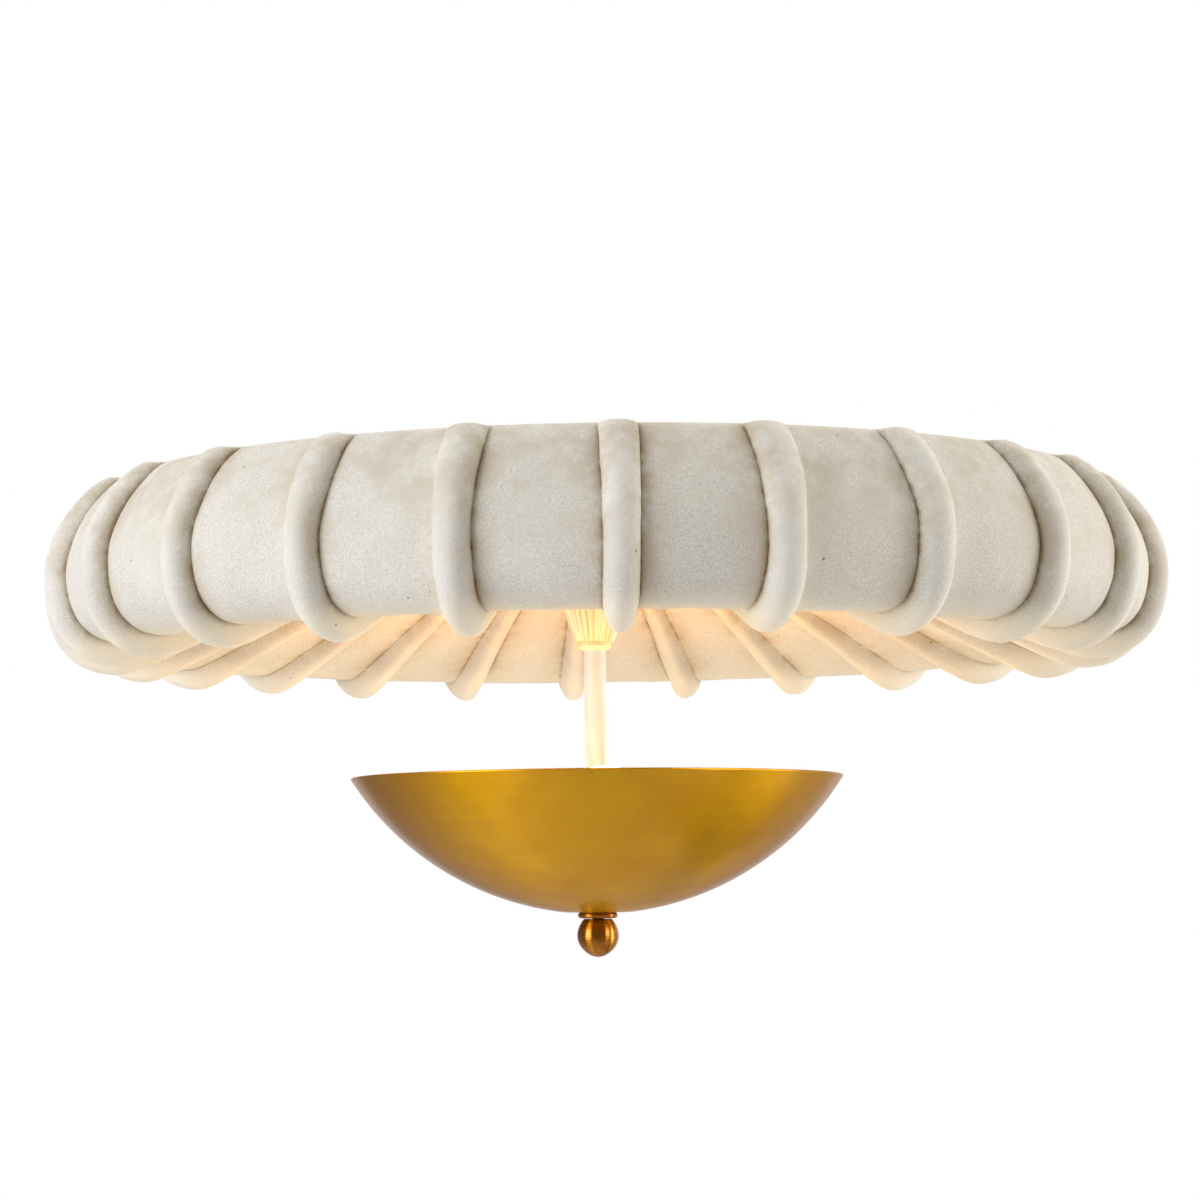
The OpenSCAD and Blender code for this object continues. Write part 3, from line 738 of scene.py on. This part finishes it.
# %% The bowl
BOWL_SPHERE = 158.55
BOWL_SHEET = 1.2
RIM_HEIGHT = -159.1
SEAT_HEIGHT = -232.0
BOWL_HOLE = 3.475
SEAT_BEND = 1.6


def sphere_arc(radius, first_height, last_height, count):
    """Arc of a sphere about the bowl's centre, between two heights."""
    ends = (math.degrees(math.asin((h - BOWL_CENTRE) / radius)) for h in (first_height, last_height))
    return arc((0.0, BOWL_CENTRE), radius, *ends, count)


outer_arc = sphere_arc(BOWL_SPHERE, SEAT_HEIGHT, RIM_HEIGHT, 54)
inner_arc = sphere_arc(BOWL_SPHERE - BOWL_SHEET, RIM_HEIGHT, SEAT_HEIGHT + BOWL_SHEET, 40)
rim_middle = ((outer_arc[-1][0] + inner_arc[0][0]) / 2, RIM_HEIGHT)
rim_round = arc(rim_middle, (outer_arc[-1][0] - inner_arc[0][0]) / 2, -10, 190, 7)
bowl_outline = [(BOWL_HOLE, SEAT_HEIGHT), (outer_arc[0][0] - SEAT_BEND, SEAT_HEIGHT)]
bowl_outline += outer_arc[1:-1] + rim_round + inner_arc[1:] + [(BOWL_HOLE, SEAT_HEIGHT + BOWL_SHEET)]
finished("brass_bowl", spun_mesh(bowl_outline, 180), BOWL_BRASS, "bowl", "bowl")

# %% [markdown]
# ## The finial
# A flat ring and an egg-shaped ball close the bowl from below. They are turned and polished rather than
# brushed, so they show two tall window-like lights, and the brass is darker in soft clouds where polish
# has been left.

# %% Polished brass
POLISHED_DEEP = (0.250, 0.082, 0.004)
POLISHED_GOLD = (0.500, 0.200, 0.014)


def polished_brass():
    brass = Finish(
        "polished_brass",
        Metallic=1.0,
        Anisotropic=1.0,
        Anisotropic_Rotation=0.25,
        Coat_Weight=0.25,
        Coat_Roughness=0.15,
    )
    place = brass.place()
    clouds = brass.clouds(place, 160.0, 4.0, 0.55)
    scratches = brass.clouds(brass.stretched(place, (90.0, 90.0, 1500.0)), 1.0, 2.0, 0.5)
    tone = brass.between(clouds * 0.7 + scratches * 0.3, 0.30, 0.66)
    colour = brass.blend(tone, POLISHED_DEEP, POLISHED_GOLD)
    relief = brass.relief(scratches * 0.6 + clouds * 0.4, 0.000006)
    return brass.surface(Base_Color=colour, Roughness=0.28 + clouds * 0.05, Normal=relief)


FINIAL_BRASS = polished_brass()

# %% The ring and the ball
RING_RADIUS = 10.9
RING_HEIGHT = 3.2
BALL_TOP = -235.5
BALL_RADIUS = 11.4
BALL_HEIGHT = 20.6
BALL_WIDEST = 0.45
BALL_SHOULDER = 1.34
BALL_POINT = 0.14
BALL_STEPS = 36
BALL_BORE = 3.225
STUD_GRIP = 11.0

ring_middle = (RING_RADIUS - RING_HEIGHT / 2, SEAT_HEIGHT - RING_HEIGHT / 2)
ring_round = arc(ring_middle, RING_HEIGHT / 2, -90, 90, 19)
ring_outline = [(BOWL_HOLE, SEAT_HEIGHT - RING_HEIGHT), *ring_round, (BOWL_HOLE, SEAT_HEIGHT)]
finished("turned_ring", spun_mesh(ring_outline, 96), FINIAL_BRASS, "bowl", "check_ring")

above = BALL_HEIGHT * BALL_WIDEST
below = BALL_HEIGHT - above
ball_start = math.degrees(math.asin(1 / BALL_SHOULDER))
ball_outline = []
for step in range(BALL_STEPS + 1):
    angle = math.radians(ball_start + (-90 - ball_start) * step / BALL_STEPS)
    half_height = above * BALL_SHOULDER if angle > 0 else below
    ball_radius = BALL_RADIUS * math.cos(angle) * (1 - BALL_POINT * min(0, math.sin(angle)) ** 2)
    ball_outline.append((ball_radius, BALL_TOP - above + half_height * math.sin(angle)))
ball_outline[-1] = (0.0, BALL_TOP - BALL_HEIGHT)
ball_outline += [(0.0, BALL_TOP - STUD_GRIP), (BALL_BORE, BALL_TOP - STUD_GRIP), (BALL_BORE, BALL_TOP)]
finished("egg_ball", spun_mesh(ball_outline, 96), FINIAL_BRASS, "finial", "finial_ball")

# %% [markdown]
# ## Stem, collar and hub
# The parts above the bowl are satin brass, so close to the bulbs that they look almost white, and their
# colour is painted paler than brass to stand in for that glare. The tube is painted a cool near-white for
# the glare, darker and bluer toward its foot as painted shade against the bulbs' warm light, which would
# burn it out. The hub is a cone with a ring of shallow flutes. A circle with a point for each crest and
# hollow is scalloped, then extruded down the cone ring by ring.

# %% Satin brass and the tube, both painted pale for the bulbs' glare
SATIN_GLARE_PALE = (0.950, 0.880, 0.700)
SATIN_GLARE_DEEP = (0.900, 0.790, 0.540)
TUBE_GLARE_PALE = (0.860, 0.880, 1.000)
TUBE_FOOT_SHADE = (0.430, 0.430, 0.610)
FOOT_SHADE_HEIGHTS = (-0.19, -0.09)
DRAWN_SCALE = (1400.0, 1400.0, 12.0)
DRAWN_DEPTH = 0.00002


def drawn_metal(name, roughness):
    """A metal with fine lines along the stem, and a signal by which its tone wanders."""
    metal = Finish(name, Metallic=1.0)
    place = metal.place()
    clouds = metal.clouds(place, 90.0, 3.0, 0.5)
    drawn = metal.clouds(metal.stretched(place, DRAWN_SCALE), 1.0, 2.0, 0.5)
    metal.surface(Roughness=roughness + drawn * 0.1, Normal=metal.relief(drawn, DRAWN_DEPTH))
    return metal, metal.between(clouds * 0.5 + drawn * 0.5, 0.3, 0.7)


satin, tone = drawn_metal("satin_brass", 0.50)
# Painted light: the satin brass of the hub and collar is painted paler than brass, standing in for the
# bulbs' glare.
STEM_BRASS = satin.surface(Base_Color=satin.blend(tone, SATIN_GLARE_DEEP, SATIN_GLARE_PALE))
tube_finish, tone = drawn_metal("glare_pale_tube", 0.70)
# Painted shade and glare: the tube is painted a cool near-white, darker and bluer toward its foot to hold
# back the bulbs' warm light.
foot_shade = 1.0 - tube_finish.between(tube_finish.axes(tube_finish.place())[2], *FOOT_SHADE_HEIGHTS)
TUBE_METAL = tube_finish.surface(Base_Color=tube_finish.blend(tone * 0.15 + foot_shade * 0.85, TUBE_GLARE_PALE, TUBE_FOOT_SHADE))

# %% The fluted hub
HUB_TOP = -32.2
HUB_FOOT = -84.8
HUB_TOP_RADIUS = 30.0
HUB_FOOT_RADIUS = 10.6
FLUTES = 24
FLUTE_POINTS = 12
FLUTE_DEPTH = 0.07
HUB_RINGS = 14
HUB_WALL = 3.0
HUB_BORE = 5.15
HUB_FLOOR = 9.0
INNER_RINGS = (
    (HUB_BORE, HUB_FOOT),
    (HUB_BORE, HUB_FOOT + HUB_FLOOR),
    (8.5, HUB_FOOT + HUB_FLOOR + 0.5),
    (HUB_TOP_RADIUS - HUB_WALL - 1.5, HUB_TOP),
)

hub = bmesh.new()
bmesh.ops.create_circle(hub, cap_ends=False, segments=FLUTES * FLUTE_POINTS, radius=1.0)
hub_ring = list(hub.edges)
for point in hub.verts:
    turn = math.atan2(point.co.y, point.co.x) * FLUTES / 2
    point.co *= 1 - FLUTE_DEPTH * (1 - abs(math.sin(turn)) ** 0.8)
    point.co *= HUB_TOP_RADIUS * MM
    point.co.z = HUB_TOP * MM


def next_ring(mesh, edges, scale, height):
    """Extrude a ring of edges, scale the new ring about the axis and put it at a height."""
    grown = bmesh.ops.extrude_edge_only(mesh, edges=edges)["geom"]
    ring_verts = {item for item in grown if isinstance(item, bmesh.types.BMVert)}
    for point in ring_verts:
        point.co = (point.co.x * scale, point.co.y * scale, height * MM)
    grown_edges = [item for item in grown if isinstance(item, bmesh.types.BMEdge)]
    return [edge for edge in grown_edges if ring_verts.issuperset(edge.verts)]


cone_shares = [step / HUB_RINGS for step in range(1, HUB_RINGS + 1)]
cone_rings = [
    (HUB_TOP_RADIUS + (HUB_FOOT_RADIUS - HUB_TOP_RADIUS) * share, HUB_TOP + (HUB_FOOT - HUB_TOP) * share)
    for share in cone_shares
]
ring_edges = hub_ring
last_radius = HUB_TOP_RADIUS
for ring_radius, ring_height in (*cone_rings, *INNER_RINGS):
    ring_edges = next_ring(hub, ring_edges, ring_radius / last_radius, ring_height)
    last_radius = ring_radius
bmesh.ops.bridge_loops(hub, edges=hub_ring + ring_edges)
bmesh.ops.recalc_face_normals(hub, faces=hub.faces)
finished("fluted_cone", hub, STEM_BRASS, "fixture", "fluted_hub")

# %% The collar and the stem
COLLAR_RADIUS = 9.3
COLLAR_FOOT = -89.1
COLLAR_STEP = 7.6
COLLAR_BAND = 3.0
COLLAR_ROUND = 0.7
STEP_ROUND = 0.6
STEM_RADIUS = 6.0
STEM_BORE = 4.95
STEM_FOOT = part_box("stem_tube")[0].z / MM

band_top = (COLLAR_RADIUS - COLLAR_ROUND, HUB_FOOT - COLLAR_ROUND)
band_foot = (COLLAR_RADIUS - COLLAR_ROUND, HUB_FOOT - COLLAR_BAND + COLLAR_ROUND)
step_foot = (COLLAR_STEP - STEP_ROUND, COLLAR_FOOT + STEP_ROUND)
collar_outline = [(HUB_BORE, HUB_FOOT), *arc(band_top, COLLAR_ROUND, 90, 0, 5)]
collar_outline += arc(band_foot, COLLAR_ROUND, 0, -90, 5)
collar_outline += arc(step_foot, STEP_ROUND, 0, -90, 5) + [(HUB_BORE, COLLAR_FOOT)]
finished("stepped_collar", spun_mesh(collar_outline, 72), STEM_BRASS, "fixture", "stem_collar")
stem_outline = [
    (STEM_BORE, COLLAR_FOOT),
    (STEM_RADIUS, COLLAR_FOOT),
    (STEM_RADIUS, STEM_FOOT),
    (STEM_BORE, STEM_FOOT),
]
finished("stem_sleeve", spun_mesh(stem_outline, 64), TUBE_METAL, "fixture", "stem_tube")

# %% [markdown]
# ## The bulbs
# Three small opal globes lie round the foot of the stem. Opal glass hides the filament and glows all
# over, so an emission on the glass is enough, warm and a few times brighter than white. The blow-moulded
# globe runs into its neck in a soft curve, and it has a real wall, so it looks right at its open end too.

# %% Opal glass
GLOW_DEEP = (1.0, 0.67, 0.20)
GLOW_PALE = (1.0, 0.70, 0.22)
GLOW_STRENGTH = 14.2
OPAL_DEEP = (0.86, 0.84, 0.80)
OPAL_PALE = (0.92, 0.90, 0.86)


def opal_glass():
    glass = Finish("opal_glass", Roughness=0.18, Emission_Strength=GLOW_STRENGTH)
    place = glass.place()
    swirl = glass.clouds(place, 40.0, 3.0, 0.5)
    glow = glass.blend(swirl, GLOW_DEEP, GLOW_PALE)
    return glass.surface(Base_Color=glass.blend(swirl, OPAL_DEEP, OPAL_PALE), Emission_Color=glow)


GLASS = opal_glass()

# %% The globes
GLOBE_RADIUS = 25.0
GLOBE_DISTANCE = 67.47
GLASS_WALL = 0.9
NECK_RADIUS = 5.85
NECK_START = 39.0
NECK_END = 40.5
BULB_TILT = 12.0
BULB_AZIMUTHS = (-86.0, 34.0, 154.0)
CLUSTER_HEIGHT = -193.63
FLARE_ANGLE = -52.0
FLARE_PULL = 5.0
NECK_PULL = 3.0


def globe_outline(wall):
    """Outline of the globe's outside, or of its inside with the wall taken off."""
    sphere = arc((0, GLOBE_DISTANCE), GLOBE_RADIUS - wall, FLARE_ANGLE, 90, 30)
    sphere[-1] = (0.0, sphere[-1][1])
    slope = math.radians(-FLARE_ANGLE)
    neck = NECK_RADIUS - wall
    pull = (sphere[0][0] - FLARE_PULL * math.sin(slope), sphere[0][1] - FLARE_PULL * math.cos(slope))
    flare = curve((neck, NECK_END), (neck, NECK_END + NECK_PULL), pull, sphere[0], 8)
    return [(neck, NECK_START), *flare, *sphere[1:]]


def bulb_axis(azimuth):
    """Puts a piece that was spun about z onto a bulb's own tilted axis."""
    return (
        Matrix.Translation((0, 0, CLUSTER_HEIGHT * MM))
        @ Matrix.Rotation(math.radians(azimuth), 4, "Z")
        @ Matrix.Rotation(math.radians(90 - BULB_TILT), 4, "Y")
    )


for number, azimuth in enumerate(BULB_AZIMUTHS, 1):
    globe = spun_mesh(globe_outline(0) + globe_outline(GLASS_WALL)[::-1], 48)
    bmesh.ops.transform(globe, matrix=bulb_axis(azimuth), verts=globe.verts)
    finished(f"opal_globe_{number}", globe, GLASS, f"bulb_{number}", f"bulb_globe_{number}")

# %% [markdown]
# ## Finishes of the fittings
# The strap, nuts, pads and lampholders keep their CAD shapes. Each gets the finish of the real thing:
# zinc plating with its faint crystal clouds, white paint with an orange-peel skin, black rubber, glazed
# ceramic.

# %% Plain fittings
THREAD_PITCH = 0.94 * MM


def fitting(name, low, high, scale, roughness, metallic, bump):
    """A finish whose colour wanders between two tones, with a fine relief."""
    finish = Finish(name, Metallic=metallic)
    place = finish.place()
    clouds = finish.clouds(place, scale, 4.0, 0.6)
    fine = finish.clouds(place, scale * 9, 3.0, 0.6)
    colour = finish.blend(finish.between(clouds * 0.6 + fine * 0.4, 0.32, 0.68), low, high)
    relief = finish.relief(fine, bump)
    return finish.surface(Base_Color=colour, Roughness=roughness + fine * 0.15, Normal=relief)


def threaded(name, low, high):
    """Brass with the rings of a rolled thread in its relief, and painted shade in the thread's valleys."""
    finish = Finish(name, Metallic=1.0, Roughness=0.35)
    place = finish.place()
    height = finish.axes(place)[2]
    half = THREAD_PITCH / 2
    crest = finish.node("ShaderNodeMath", {"operation": "PINGPONG"}, {0: height, 1: half}) / half
    clouds = finish.clouds(place, 160.0, 3.0, 0.5)
    # Painted shade and highlight: the colour is darker in the thread's valleys and paler on its crests.
    colour = finish.blend(finish.between(crest * 0.5 + clouds * 0.5, 0.2, 0.8), low, high)
    return finish.surface(Base_Color=colour, Normal=finish.relief(crest, 0.0004))


# Columns: name, deep colour, pale colour, blotches to the metre, roughness, metallic, depth of the relief
PLAIN_FINISHES = {
    "steel_zinc": ("zinc_plate", (0.44, 0.45, 0.46), (0.66, 0.66, 0.65), 180.0, 0.30, 1.0, 0.00003),
    "pan_paint": ("white_paint", (0.70, 0.69, 0.66), (0.78, 0.77, 0.74), 260.0, 0.42, 0.0, 0.00008),
    "pad_rubber": ("black_rubber", (0.018, 0.018, 0.018), (0.040, 0.039, 0.037), 300.0, 0.70, 0.0, 0.00006),
    "green_paint": ("green_paint", (0.012, 0.110, 0.035), (0.020, 0.160, 0.055), 400.0, 0.35, 0.0, 0.00005),
    "holder_ceramic": ("glazed_ceramic", (0.76, 0.73, 0.66), (0.86, 0.84, 0.79), 120.0, 0.12, 0.0, 0.00003),
    "cap_metal": ("nickel_plate", (0.52, 0.50, 0.46), (0.70, 0.68, 0.63), 220.0, 0.25, 1.0, 0.00003),
}
finishes = {slot: fitting(*columns) for slot, columns in PLAIN_FINISHES.items()}
finishes["stem_brass"] = STEM_BRASS
finishes["thread_brass"] = threaded("rolled_thread", (0.50, 0.33, 0.12), (0.72, 0.53, 0.24))
slot_of_node = {part["node"]: part["material_slot"] for part in frame["record"]["subparts"]}
kept_nodes = {name: node for name, node in frame["nodes"].items() if not node.hide_render}
for node_name, node_object in kept_nodes.items():
    node_object.data.materials.clear()
    node_object.data.materials.append(finishes[slot_of_node[node_name]])
print("kept CAD nodes:", len(kept_nodes))
